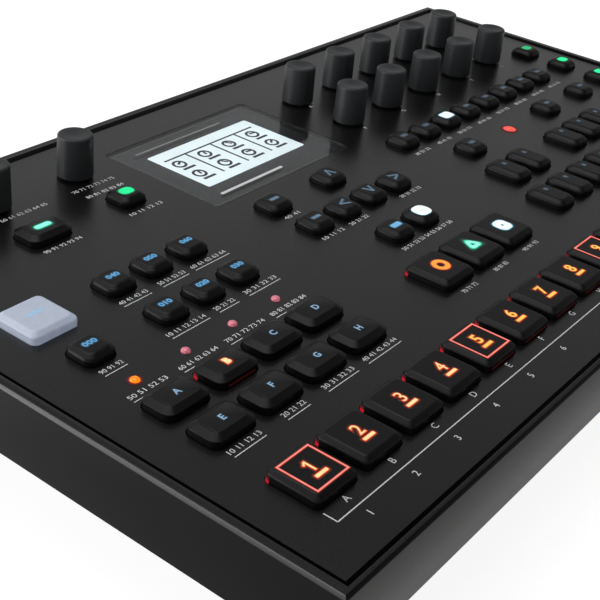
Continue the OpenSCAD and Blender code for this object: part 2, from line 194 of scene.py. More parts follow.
@dataclass(frozen=True)
class Finish:
    """A moulded, painted or plated surface with fine grain, mottling and uneven gloss."""

    name: str
    colour: Colour
    roughness: float
    metallic: float = 0.0
    specular: float = 0.5
    grain: float = 0.3
    relief: float = 0.2
    mottle: float = 0.12
    gloss_spread: float = 0.05
    brushed: Colour = (1.0, 1.0, 1.0)

    @cache
    def material(self) -> Material:
        """Builds the material once and returns it."""
        sheet = NodeSheet.of_material(self.name)
        sheet.set(Metallic=self.metallic, Specular_IOR_Level=self.specular)
        fine = sheet.noise(self.grain, self.brushed)
        wide = sheet.noise(PATCH_GRAINS * self.grain + PATCH_LEAST)
        dark = tuple(c * (1.0 - self.mottle) for c in self.colour)
        light = tuple(c * (1.0 + self.mottle) for c in self.colour)
        sheet.link(sheet.blend(wide, dark, light), sheet.shader.inputs["Base Color"])
        gloss = sheet.spread(fine, self.roughness - self.gloss_spread, self.roughness + self.gloss_spread)
        sheet.link(gloss, sheet.shader.inputs["Roughness"])
        sheet.relief(fine, self.relief, GRAIN_DEPTH * self.grain)
        return sheet.owner


@dataclass(frozen=True)
class LitFinish:
    """Plastic or ink lit from behind, a little uneven as a small lamp makes it; on the unlit lamps the same glow
    is painted light.
    """

    name: str
    colour: Colour
    strength: float
    body: Colour = (0.02, 0.02, 0.02)
    roughness: float = 0.45
    specular: float = 0.12
    patch: float = 2.5
    uneven: float = 0.12

    @cache
    def material(self) -> Material:
        """Builds the material once and returns it."""
        sheet = NodeSheet.of_material(self.name)
        sheet.set(Base_Color=(*self.body, 1.0), Roughness=self.roughness, Specular_IOR_Level=self.specular)
        sheet.set(Emission_Color=(*self.colour, 1.0))
        level = sheet.spread(
            sheet.noise(self.patch), self.strength * (1.0 - self.uneven), self.strength * (1.0 + self.uneven))
        sheet.link(level, sheet.shader.inputs["Emission Strength"])
        return sheet.owner


@dataclass(frozen=True)
class GlassFinish:
    """Clear or tinted pane with a faint ripple."""

    name: str
    colour: Colour
    roughness: float = 0.03
    ior: float = 1.3
    ripple: float = 9.0
    rippled: float = 1.6

    @cache
    def material(self) -> Material:
        """Builds the material once and returns it."""
        sheet = NodeSheet.of_material(self.name)
        sheet.set(Base_Color=(*self.colour, 1.0), Transmission_Weight=1.0, IOR=self.ior)
        ripple = sheet.noise(self.ripple)
        gloss = sheet.spread(ripple, self.roughness, self.roughness * self.rippled)
        sheet.link(gloss, sheet.shader.inputs["Roughness"])
        return sheet.owner


AnyFinish = Finish | LitFinish | GlassFinish

PANEL_METAL = Finish(
    "panel_satin_black", (0.0024, 0.0024, 0.0025), 0.28, grain=0.22, relief=0.06, gloss_spread=0.03)
CASE_METAL = Finish(
    "case_satin_black", (0.0050, 0.0050, 0.0052), 0.40, specular=0.09, grain=0.22, relief=0.10)
# Front wall of the case: the sides' black made lighter, painted light for the light that falls on the front.
FRONT_METAL_PAINTED_LIGHT = Finish("case_front_satin", (0.036, 0.035, 0.034), 0.42, specular=0.11, relief=0.25)
# Side chamfers of the case: a brushed metal edge, made lighter than the case partly as a painted highlight where
# they catch the light.
CHAMFER_METAL_AND_SHEEN = Finish(
    "cut_edge_metal", (0.085, 0.085, 0.088), 0.34, metallic=0.7, grain=0.5, relief=0.3,
    brushed=(1.0, 2.2, 1.0))
BASE_METAL = Finish("base_powder_coat", (0.012, 0.012, 0.013), 0.62, grain=0.45, relief=0.5)
KEY_PLASTIC = Finish("key_matt_black", (0.0030, 0.0029, 0.0029), 0.40, specular=0.18, grain=0.18, relief=0.10)
KNOB_PLASTIC = Finish(
    "knob_soft_touch", (0.0105, 0.0125, 0.0140), 0.48, specular=0.42, grain=0.6, relief=0.25,
    brushed=(1.6, 1.6, 0.08))
BLACK_PLASTIC = Finish("moulded_black", (0.016, 0.016, 0.017), 0.50, relief=0.25)
STEEL = Finish("plated_steel", (0.55, 0.56, 0.58), 0.28, metallic=1.0, grain=0.35, relief=0.15)
BLACK_STEEL = Finish("blackened_steel", (0.020, 0.020, 0.021), 0.40, metallic=0.5, grain=0.35, relief=0.15)
BRASS = Finish("turned_brass", (0.60, 0.45, 0.20), 0.32, metallic=1.0, grain=0.35, relief=0.15)
BOARD = Finish("solder_mask_green", (0.02, 0.13, 0.05), 0.40, grain=0.8, mottle=0.25)
CABLE = Finish("ribbon_grey", (0.30, 0.31, 0.33), 0.55, grain=1.3, relief=0.5, brushed=(1.0, 0.1, 0.1))
RUBBER = Finish("foot_rubber", (0.012, 0.012, 0.012), 0.80, grain=0.5, relief=0.6)
PRINT = Finish("print_white", (0.66, 0.67, 0.68), 0.55, grain=0.2, relief=0.1, mottle=0.05)
PRINT_GREY = Finish("print_grey", (0.22, 0.22, 0.22), 0.55, grain=0.2, relief=0.1, mottle=0.05)
MASK = Finish("display_mask", (0.010, 0.010, 0.010), 0.55, grain=0.4, relief=0.1)
DARK_PIXEL = Finish("display_dark_pixel", (0.035, 0.035, 0.06), 0.5, grain=0.4, relief=0.05, mottle=0.2)
PANE = GlassFinish("display_pane", (0.80, 0.82, 0.84))
PANE_EDGE = Finish("display_pane_edge", (0.05, 0.05, 0.053), 0.35, relief=0.1)
WHITE_PLASTIC = LitFinish(
    "key_milky_white", (0.66, 0.76, 1.0), 0.22, body=(0.30, 0.33, 0.38), roughness=0.42, specular=0.5)
SCREEN = LitFinish("display_backlight", (0.86, 0.98, 1.0), 1.25, patch=14.0, uneven=0.06)


@dataclass(frozen=True)
class Glow:
    """Finishes of a lit mark from its faint halo to its hot core."""

    name: str
    halo: Colour
    edge: Colour
    core: Colour
    faint: float = 0.16

    @cache
    def layers(self) -> tuple[LitFinish, ...]:
        """Finishes of the layers from the widest to the narrowest."""
        return (LitFinish(f"lit_{self.name}_faint", self.halo, self.faint),
                LitFinish(f"lit_{self.name}_halo", self.halo, 1.0),
                LitFinish(f"lit_{self.name}_edge", self.edge, 1.0),
                LitFinish(f"lit_{self.name}_core", self.core, 1.0))


ORANGE = Glow("orange", (0.26, 0.008, 0.003), (1.0, 0.14, 0.012), (1.0, 0.80, 0.38))
GOLD = Glow("gold", (0.26, 0.008, 0.003), (1.0, 0.16, 0.008), (1.0, 0.66, 0.13))
AMBER = Glow("amber", (0.26, 0.008, 0.003), (1.0, 0.13, 0.01), (1.0, 0.40, 0.045))
RED = Glow("red", (0.20, 0.006, 0.006), (1.0, 0.10, 0.08), (1.0, 0.30, 0.23))
BLUE = Glow("blue", (0.010, 0.030, 0.055), (0.06, 0.24, 0.46), (0.16, 0.46, 0.74))
PALE_BLUE = Glow("pale_blue", (0.012, 0.030, 0.050), (0.13, 0.24, 0.36), (0.31, 0.48, 0.67))
SLATE = Glow("slate", (0.006, 0.012, 0.018), (0.045, 0.085, 0.125), (0.105, 0.185, 0.27))
BLUE_DIM = Glow("blue_dim", (0.006, 0.011, 0.017), (0.028, 0.042, 0.06), (0.060, 0.092, 0.13))
MINT = Glow("mint", (0.0, 0.08, 0.05), (0.04, 0.66, 0.36), (0.30, 1.0, 0.82))
GREEN = Glow("green", (0.0, 0.09, 0.04), (0.003, 0.62, 0.22), (0.004, 0.98, 0.34))
GREEN_DIM = Glow("green_dim", (0.0, 0.04, 0.02), (0.008, 0.22, 0.08), (0.02, 0.46, 0.17))
COOL_WHITE = Glow("white", (0.02, 0.10, 0.16), (0.42, 0.86, 1.0), (0.95, 1.0, 1.0))
BLUE_INK = LitFinish("key_blue_ink", (0.20, 0.45, 0.75), 0.25, body=(0.30, 0.48, 0.66))
RED_LEAK = LitFinish("lit_red_leak", (1.0, 0.004, 0.03), 0.50)
RED_LEAK_DIM = LitFinish("lit_red_leak_dim", (1.0, 0.004, 0.02), 0.06)
RED_LEAK_FAINT = LitFinish("lit_red_leak_faint", (1.0, 0.004, 0.01), 0.022)
LAMP_ORANGE = LitFinish(
    "lamp_lit_orange", (1.0, 0.20, 0.0), 1.2, body=(0.3, 0.05, 0.0), roughness=0.15, specular=0.5,
    patch=1.0, uneven=0.4)
LAMP_RED = LitFinish(
    "lamp_lit_red", (1.0, 0.09, 0.06), 1.1, body=(0.4, 0.02, 0.02), roughness=0.15, specular=0.5,
    patch=1.0, uneven=0.4)
# Unlit pink domes: their uneven glow is painted light, standing in for the light and highlights that the clear
# domes catch.
LAMP_OFF_PAINTED_GLOW = LitFinish(
    "lamp_off_pink", (0.60, 0.15, 0.20), 0.34, body=(0.50, 0.16, 0.20), roughness=0.12, specular=0.5,
    patch=0.8, uneven=0.6)

SLOT_FINISH: dict[str, Finish] = {
    Slot.CASE: CASE_METAL, Slot.PANEL: PANEL_METAL, Slot.BASE: BASE_METAL, Slot.GLASS: MASK,
    Slot.DISPLAY: MASK, Slot.BOARD: BOARD,
    Slot.PLASTIC: BLACK_PLASTIC, Slot.STEEL: STEEL, Slot.BRASS: BRASS, Slot.CABLE: CABLE,
    Slot.LAMP: BLACK_PLASTIC, Slot.RUBBER: RUBBER, Slot.KNOB: KNOB_PLASTIC, Slot.KEY: KEY_PLASTIC,
    Slot.WHITE: KEY_PLASTIC,
}

# Millimetres of ink, a figure's height as a share of its type size, and a line's least rounding as a share
# of its width.
PRINT_THICKNESS = 0.05
FIGURE_SHARE = 0.69
LEAST_ROUNDING = 0.1


def clear_selection() -> None:
    """Leaves nothing selected."""
    bpy.ops.object.select_all(action="DESELECT")


def apply_transforms() -> None:
    """Applies the place, turn and size of what is selected."""
    bpy.ops.object.transform_apply(location=True, rotation=True, scale=True)


class Solid:
    """A mesh under the modeller's hands, in its own units around its own origin."""

    def __init__(self, obj: Object) -> None:
        """Keeps the object on the bench."""
        self.obj = obj

    @classmethod
    def start(cls, add: Callable[..., set[str]], **options: object) -> "Solid":
        """Starts from a primitive with its transforms applied.

        Args:
            add: Operator that adds the primitive.
            options: Its settings.

        Returns:
            The solid.
        """
        clear_selection()
        add(**options)
        apply_transforms()
        return cls(bpy.context.object)

    @classmethod
    def block(cls, size: Place, low: float, high: float, corner: float, steps: int) -> "Solid":
        """Starts from a block between two heights, with rounded upright edges.

        Args:
            size: Size along x and y.
            low: Height of its underside.
            high: Height of its top.
            corner: Rounding of the upright edges.
            steps: Steps of the rounding.

        Returns:
            The solid.
        """
        block = cls.start(bpy.ops.mesh.primitive_cube_add, size=1.0)
        block.obj.scale = (*size, high - low)
        block.obj.location.z = (high + low) / 2
        apply_transforms()
        with block.editing():
            block.choose(Pick.EDGE, lambda e: abs(e.verts[0].co.z - e.verts[1].co.z) > (high - low) / 2)
            bpy.ops.mesh.bevel(offset=corner, segments=steps, affect="EDGES")
        return block

    @classmethod
    def rod(cls, vertices: int, radius: float, low: float, high: float, fill: str = "NGON") -> "Solid":
        """Starts from a cylinder between two heights, with a kind of end face."""
        return cls.start(
            bpy.ops.mesh.primitive_cylinder_add, vertices=vertices, radius=radius, depth=high - low,
            location=(0.0, 0.0, (high + low) / 2), end_fill_type=fill)

    @contextmanager
    def editing(self) -> Iterator[None]:
        """Edit mode for as long as the block runs."""
        bpy.ops.object.mode_set(mode="EDIT")
        yield
        bpy.ops.object.mode_set(mode="OBJECT")

    def choose(self, pick: Pick, test: Callable[[object], bool]) -> None:
        """Selects the edges or faces that pass a test, in edit mode.

        Args:
            pick: Kind of element.
            test: Says whether an element is wanted.
        """
        bpy.ops.mesh.select_mode(type=pick.name)
        bpy.ops.mesh.select_all(action="DESELECT")
        grid = bmesh.from_edit_mesh(self.obj.data)
        for element in getattr(grid, pick.value):
            if test(element):
                element.select_set(True)
        grid.select_flush_mode()
        bmesh.update_edit_mesh(self.obj.data)

    def facing(self, side: float, level: float = LEVEL) -> None:
        """Selects the faces that look up, or down where side is -1, in edit mode."""
        self.choose(Pick.FACE, lambda f: side * f.normal.z > level)

    @staticmethod
    def everything() -> None:
        """Selects the whole mesh, in edit mode."""
        bpy.ops.mesh.select_all(action="SELECT")

    @staticmethod
    def extrude(rise: float) -> None:
        """Extrudes the selected faces upward, in edit mode."""
        bpy.ops.mesh.extrude_region_move(TRANSFORM_OT_translate={"value": (0.0, 0.0, rise)})

    def modify(self, kind: str, **settings: object) -> None:
        """Adds a modifier, sets it and applies it."""
        modifier = self.obj.modifiers.new(kind.lower(), kind)
        for name, value in settings.items():
            setattr(modifier, name, value)
        bpy.ops.object.modifier_apply(modifier=modifier.name)

    def soften(self, width: float, segments: int = 3, angle: float = 28.0) -> None:
        """Rounds edges sharper than an angle in degrees and shades the faces smooth between them."""
        bpy.ops.object.shade_smooth()
        self.modify(
            "BEVEL", width=width, segments=segments, limit_method="ANGLE", angle_limit=math.radians(angle),
            harden_normals=True, use_clamp_overlap=True)

    def mesh(self) -> Mesh:
        """Takes the mesh off the bench and returns it."""
        data = self.obj.data
        bpy.data.objects.remove(self.obj)
        return data


@dataclass(frozen=True)
class Part:
    """A copy of a mesh at its place, with its finish."""

    mesh: Mesh
    place: Matrix
    finish: AnyFinish


def assemble(name: str, parts: list[Part], body: str, slot: Slot, *replaced: str) -> Object:
    """Joins placed copies into one piece that rides on a body.

    Args:
        name: Name of the piece.
        parts: The copies.
        body: Body that carries the piece.
        slot: Not used.
        replaced: Nodes that the piece stands for.

    Returns:
        The finished piece.
    """
    clear_selection()
    for part in parts:
        mesh = part.mesh.copy()
        mesh.transform(part.place)
        mesh.materials.clear()
        mesh.materials.append(part.finish.material())
        copy = bpy.data.objects.new(name, mesh)
        bpy.context.scene.collection.objects.link(copy)
        copy.select_set(True)
        bpy.context.view_layer.objects.active = copy
    if len(parts) > 1:
        bpy.ops.object.join()
    piece = bpy.context.view_layer.objects.active
    piece.name = piece.data.name = name
    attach(piece, body)
    if replaced:
        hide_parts(*replaced)
    LOG.info("%s on %s, %d faces", name, body, len(piece.data.polygons))
    return piece


@cache
def lettering(text: str, height: float, width: float = 0.0, swell: float = 0.0) -> Mesh:
    """Models figures or signs as closed flat solids in millimetres, their middle at the origin.

    Args:
        text: The figures or signs.
        height: Height of the whole text.
        width: Width to fill, or 0 for the natural width.
        swell: Thickening of the strokes on each side.

    Returns:
        The mesh.
    """
    clear_selection()
    bpy.ops.object.text_add()
    curve = bpy.context.object.data
    curve.body = text
    curve.resolution_u = 3
    curve.offset = swell * FIGURE_SHARE / height
    curve.extrude = PRINT_THICKNESS
    bpy.ops.object.convert(target="MESH")
    obj = bpy.context.object
    corners = [Vector(c) for c in obj.bound_box]
    low, high = corners[0], corners[6]
    size = high - low
    tall = (height + 2 * swell) / size.y
    wide = (width + 2 * swell) / size.x if width else tall
    mesh = obj.data
    bpy.data.objects.remove(obj)
    grow = Matrix.Diagonal((wide, tall, PRINT_THICKNESS / size.z, 1.0))
    mesh.transform(grow @ Matrix.Translation(-(low + high) / 2))
    return mesh


@cache
def outline(
        sides: int, outer: float, inner: float, turn: float = 0.0, rounding: float = 0.0) -> Mesh:
    """Models a flat ring, triangle or square outline in millimetres.

    Args:
        sides: Number of sides, many for a ring.
        outer: Radius to the outer corners.
        inner: Radius to the inner corners.
        turn: Turn in degrees.
        rounding: Rounding of the corners.

    Returns:
        The mesh.
    """
    ring = Solid.start(
        bpy.ops.mesh.primitive_circle_add, vertices=sides, radius=outer, fill_type="NOTHING",
        rotation=(0.0, 0.0, math.radians(turn)))
    share = inner / outer
    with ring.editing():
        bpy.ops.mesh.select_mode(type="VERT")
        ring.everything()
        if rounding:
            bpy.ops.mesh.bevel(offset=rounding, segments=4, affect="VERTICES")
            ring.everything()
        bpy.ops.mesh.extrude_region_move()
        bpy.ops.transform.resize(value=(share, share, 1.0), center_override=(0.0, 0.0, 0.0))
        ring.everything()
        bpy.ops.mesh.normals_make_consistent(inside=False)
    ring.modify("SOLIDIFY", thickness=PRINT_THICKNESS, offset=0.0)
    with ring.editing():
        ring.everything()
        bpy.ops.mesh.normals_make_consistent(inside=False)
    return ring.mesh()


@cache
def strip(length: float, width: float, rounding: float = 0.0) -> Mesh:
    """Models a flat printed line along x in millimetres, with rounded ends where asked."""
    half = PRINT_THICKNESS / 2
    return Solid.block((length, width), -half, half, rounding or LEAST_ROUNDING * width, 3).mesh()


@dataclass(frozen=True)
class PanelFrame:
    """The sloping panel's frame: x from the middle of the case, y from its front edge, h above the panel."""

    slope: float
    front: float
    rise: float

    @classmethod
    def from_case(cls, wall_height: float) -> "PanelFrame":
        """Finds the frame from the upper case and a key's direction of travel.

        Args:
            wall_height: Height of the upper case's walls in millimetres.

        Returns:
            The frame.
        """
        press = next(j for j in frame["joints"] if j["name"] == "step_key_01_press")
        slope = math.atan2(press["axis"][1], -press["axis"][2])
        low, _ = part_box("upper_case")
        return cls(slope, low.y, low.z + wall_height * MM * math.cos(slope))

    def at(self, x: float, y: float, h: float = 0.0, turn: float = 0.0) -> Matrix:
        """Matrix from a piece modelled in millimetres to its place on the panel.

        Args:
            x: Millimetres from the middle.
            y: Millimetres from the front edge.
            h: Millimetres above the panel.
            turn: Turn about the panel's upright, in degrees.

        Returns:
            The matrix.
        """
        panel = Matrix.Translation((0.0, self.front, self.rise)) @ Matrix.Rotation(self.slope, 4, "X")
        place = Matrix.Translation(Vector((x, y, h)) * MM) @ Matrix.Rotation(math.radians(turn), 4, "Z")
        return panel @ place @ Matrix.Scale(MM, 4)

    def up(self) -> Vector:
        """Direction square to the panel."""
        return Vector((0.0, -math.sin(self.slope), math.cos(self.slope)))


# Height of the upper case's walls in millimetres.
WALL_HEIGHT = 22.0
PANEL = PanelFrame.from_case(WALL_HEIGHT)


@dataclass(frozen=True)
class Layout:
    """Places on the panel in millimetres."""

    key_pitch: float = 20.66
    small_pitch: float = 16.33
    column_x: float = 1.5 - 8 * 20.66
    step_y: float = 31.3
    bank_y: float = 60.8
    bank_pitch: float = 16.0
    transport_x: float = 1.5 - 2.5 * 20.66
    transport_y: float = 64.0
    note_y: float = 64.8
    note_pitch: float = 22.4
    lamp_y: float = 91.4
    lower_y: float = 108.8
    upper_y: float = 130.8
    mode_x: float = -132.9
    mode_pitch: Place = (16.6, 21.8)
    arrow_x: float = -21.2
    arrow_y: float = 112.4
    pair_y: float = 90.0
    page_x: float = 30.5
    page_y: float = 131.2
    single_y: float = 109.2
    selector_y: float = 169.0
    wide_selector_x: float = -126.5
    small_selector_x: float = -88.3
    side_x: float = 170.8
    side_y: float = 111.6
    side_pitch: float = 19.6
    knob_x: float = -164.0
    knob_y: float = 194.2
    left_knob_pitch: float = 37.9
    data_x: float = 31.9
    data_pitch: float = 28.6
    data_rows: Place = (186.0, 159.2)
    window: Place = (-28.7, 171.8)
    window_size: Place = (79.0, 55.6)

    def row_x(self, k: float) -> float:
        """Middle of a column of the step row."""
        return self.column_x + k * self.key_pitch

    def small_x(self, k: float) -> float:
        """Middle of a column of the small keys."""
        return self.page_x + k * self.small_pitch

    def steps(self) -> list[Place]:
        """Places of the sixteen step keys."""
        return [(self.row_x(k), self.step_y) for k in range(16)]

    def banks(self) -> list[Place]:
        """Places of the bank keys, back row first."""
        return [(self.row_x(k), self.bank_y + self.bank_pitch * r) for r in (1, 0) for k in range(4)]

    def transports(self) -> list[Place]:
        """Places of the record, play and stop keys."""
        return [(self.transport_x + k * self.key_pitch, self.transport_y) for k in range(3)]

    def modes(self) -> list[Place]:
        """Places of the performance key and the six mode keys."""
        rows = [(self.mode_x + k * self.mode_pitch[0], self.lower_y + r * self.mode_pitch[1])
                for r in range(2) for k in range(3)]
        return [(self.column_x, self.lower_y), *rows]

    def arrows(self) -> list[Place]:
        """Places of the arrow block: row of four, upper two, lower pair."""
        places = [(-2, self.arrow_y), (-1, self.arrow_y), (0, self.arrow_y), (1, self.arrow_y),
                  (-2, self.upper_y), (0, self.upper_y), (-1, self.pair_y), (0, self.pair_y)]
        return [(self.arrow_x + k * self.small_pitch, y) for k, y in places]

    def pages(self) -> list[Place]:
        """Places of the page keys: row of eight, then the three single keys."""
        return [(self.small_x(k), self.page_y) for k in range(8)] + [
            (self.small_x(k), self.single_y) for k in (1, 5, 7)]

    def notes(self) -> list[Place]:
        """Places of the note keys, long row first."""
        return [(self.small_x(k), self.note_y) for k in range(8)] + [
            (self.small_x(k + 0.5), self.note_y + self.note_pitch) for k in (0, 1, 3, 4, 5)]

    def selectors(self) -> list[Place]:
        """Places of the small selector keys."""
        return [(self.small_selector_x, self.selector_y)] + [
            (self.side_x, self.side_y + self.side_pitch * k) for k in range(3)]

    def lamps(self) -> list[Place]:
        """Places of the four bank lamps and the page lamp."""
        return [(self.row_x(k) - 0.5, self.lamp_y) for k in range(4)] + [(self.small_x(3), self.single_y)]

    def knobs(self) -> dict[str, Place]:
        """Places of the knobs by body."""
        left = {name: (self.knob_x + k * self.left_knob_pitch, self.knob_y)
                for k, name in enumerate(("volume_knob", "level_knob", "sound_knob"))}
        data = {f"data_knob_{letter}": (self.data_x + k % 5 * self.data_pitch, self.data_rows[k // 5])
                for k, letter in enumerate("abcdefghij")}
        return {**left, **data}


LAYOUT = Layout()


@dataclass(frozen=True)
class KeyForm:
    """Cap of a key in millimetres: rounded corners, a sloping shoulder all round and soft edges."""

    width: float
    depth: float
    corner: float
    shoulder: float
    drop: float
    edge: float = 0.5
    rise: float = 3.5
    skirt: float = 3.8
    corner_steps: int = 6

    @cache
    def mesh(self) -> Mesh:
        """Models the cap once and returns its mesh."""
        cap = Solid.block(
            (self.width, self.depth), -self.skirt, self.rise - self.drop, self.corner, self.corner_steps)
        with cap.editing():
            cap.facing(1.0)
            cap.extrude(self.drop)
            bpy.ops.transform.resize(
                value=(1.0 - 2 * self.shoulder / self.width, 1.0 - 2 * self.shoulder / self.depth, 1.0))
        cap.soften(self.edge)
        return cap.mesh()


SQUARE_KEY = KeyForm(17.4, 17.4, 2.0, 1.5, 1.3)
BAR_KEY = KeyForm(17.4, 11.8, 3.0, 2.0, 1.3)
SMALL_KEY = KeyForm(11.4, 11.4, 3.0, 1.8, 1.4, edge=0.7)
NOTE_KEY = KeyForm(11.4, 16.6, 3.0, 1.8, 1.4, edge=0.7)


def caps(form: KeyForm, places: list[Place], finish: AnyFinish = KEY_PLASTIC) -> list[Part]:
    """Copies of a cap at places on the panel."""
    return [Part(form.mesh(), PANEL.at(*place), finish) for place in places]


@dataclass(frozen=True)
class Bar:
    """A lit bar on a key in millimetres, its ends rounded by a share of its width."""

    length: float
    width: float
    rounding: float = 0.3
    spread: float = 1.0

    def mesh(self, swell: float) -> Mesh:
        """Models the bar, swollen on each side."""
        width = self.width + 2 * swell
        return strip(self.length + 2 * swell, width, self.rounding * width)


@dataclass(frozen=True)
class Ring:
    """A lit ring, triangle or square outline on a key, its radii to the corners in millimetres."""

    sides: int
    outer: float
    inner: float
    turn: float = 0.0
    rounding: float = 0.0
    spread: float = 1.0
    least_hole: float = 0.15

    def mesh(self, swell: float) -> Mesh:
        """Models the outline, swollen on each side."""
        grown = swell / math.cos(math.pi / self.sides)
        hole = max(self.inner - grown, self.least_hole)
        return outline(self.sides, self.outer + grown, hole, self.turn, self.rounding)


@dataclass(frozen=True)
class Glyph:
    """A lit figure, letter or arrow head on a key, its strokes thickened by bold, in millimetres."""

    text: str
    height: float
    width: float = 0.0
    spread: float = 1.0
    bold: float = 0.0

    def mesh(self, swell: float) -> Mesh:
        """Models the strokes, swollen on each side."""
        return lettering(self.text, self.height, self.width, swell + self.bold)


SQUARE_SIDE, SQUARE_LINE, SQUARE_TURN = 13.2, 0.42, 45.0
STEP_SQUARE = Ring(
    4, SQUARE_SIDE / math.sqrt(2.0), (SQUARE_SIDE - 2 * SQUARE_LINE) / math.sqrt(2.0),
    SQUARE_TURN, spread=0.5)
UNDERLINE, FLAG = Bar(4.8, 1.1), Bar(1.5, 0.6)
RECORD_RING = Ring(40, 3.15, 1.5)
PLAY_RING = Ring(3, 4.3, 1.3, rounding=2.6, spread=1.6)
STOP_RING = Ring(4, 4.5, 0.9, SQUARE_TURN, 2.4)
ARROW, SMALL_ARROW, ARROW_BAR = Glyph(">", 4.2), Glyph(">", 3.4), Bar(4.4, 1.3)
PAIR_DIM, PAIR_LIT = Bar(5.0, 2.2), Bar(7.2, 6.4, 0.4, 0.5)
PAGE_DIM, PAGE_LIT, NOTE_DOT = Bar(3.6, 1.7), Bar(6.6, 4.6), Bar(1.8, 1.6)
WIDE_GREEN, SMALL_GREEN = Bar(6.6, 2.2, 0.46, 1.7), Bar(5.6, 4.0, 0.44, 1.2)


@dataclass(frozen=True)
class KeyMarks:
    """Places and layers of the lit marks on the key tops, in millimetres."""

    top: float = 3.5
    lift: float = 0.02
    swells: tuple[float, ...] = (0.75, 0.42, 0.16, -0.06)
    figure_height: float = 4.2
    figure_up: float = 1.0
    underline_up: float = -2.8
    flag: tuple[float, float, float] = (-0.75, 1.35, 42.0)
    letter_height: float = 2.2
    gold_from: int = 5
    gold_bold: float = 0.1
    mode_size: Place = (1.9, 4.8)
    mode_up: float = 0.6
    note_up: float = 2.5

    def over(self, x: float, y: float, layer: int = 0, turn: float = 0.0) -> Matrix:
        """Place of a mark on a key's top, layers lying one over the other."""
        return PANEL.at(x, y, self.top + self.lift * (1 + 2 * layer), turn)

    def lit(self, place: Place, mark: Bar | Ring | Glyph, glow: Glow, turn: float = 0.0) -> list[Part]:
        """A mark at a place on the panel in layers, each narrower and hotter than the one below it."""
        return [Part(mark.mesh(mark.spread * swell), self.over(*place, layer, turn), finish)
                for layer, (swell, finish) in enumerate(zip(self.swells, glow.layers()))]

    def step(self, place: Place, number: int) -> list[Part]:
        """Figure, underline and, on every fourth key, a square of a step key.

        Args:
            place: Middle of the key.
            number: Number of the step.

        Returns:
            The placed marks.
        """
        x, y = place
        glow, bold = (ORANGE, 0.0) if number < self.gold_from else (GOLD, self.gold_bold)
        marks = self.lit((x, y + self.figure_up), Glyph(str(number), self.figure_height, bold=bold), glow)
        marks += self.lit((x, y + self.underline_up), UNDERLINE, glow)
        if number == 1:
            aside, up, turn = self.flag
            marks += self.lit((x + aside, y + self.figure_up + up), FLAG, ORANGE, turn)
        if number % 4 == 1:
            marks += self.lit(place, STEP_SQUARE, RED)
        return marks


@dataclass(frozen=True)
class CornerLeak:
    """Red lamp light that shows in the gap at a key's back left corner, in millimetres."""

    form: KeyForm
    bands: tuple[tuple[float, float, LitFinish], ...] = ((-0.5, 0.7, RED_LEAK), (0.7, 1.7, RED_LEAK_DIM))
    skin: float = 0.04
    sheet: float = 0.03
    line: float = 0.7

    def sliver(self, low: float, high: float) -> Mesh:
        """Models a quarter-round sliver on the corner.

        Args:
            low: Lower edge over the panel.
            high: Upper edge over the panel.

        Returns:
            The mesh.
        """
        sliver = Solid.rod(32, self.form.corner + self.skin, low, high, "NOTHING")
        with sliver.editing():
            for direction in ((1.0, 0.0, 0.0), (0.0, -1.0, 0.0)):
                sliver.everything()
                bpy.ops.mesh.bisect(plane_co=(0.0, 0.0, 0.0), plane_no=direction, clear_outer=True)
        sliver.modify("SOLIDIFY", thickness=self.sheet, offset=-1.0)
        return sliver.mesh()

    def at(self, place: Place) -> list[Part]:
        """The slivers at the corner of a key."""
        x = place[0] - self.form.width / 2 + self.form.corner
        y = place[1] + self.form.depth / 2 - self.form.corner
        return [Part(self.sliver(low, high), PANEL.at(x, y), finish) for low, high, finish in self.bands]

    def front(self, place: Place) -> list[Part]:
        """A dim line of light along the foot of a key's front."""
        line = strip(self.form.width - 2 * self.form.corner, self.line)
        foot = PANEL.at(place[0], place[1] - self.form.depth / 2 - self.skin, self.line)
        return [Part(line, foot @ Matrix.Rotation(math.pi / 2, 4, "X"), RED_LEAK_FAINT)]


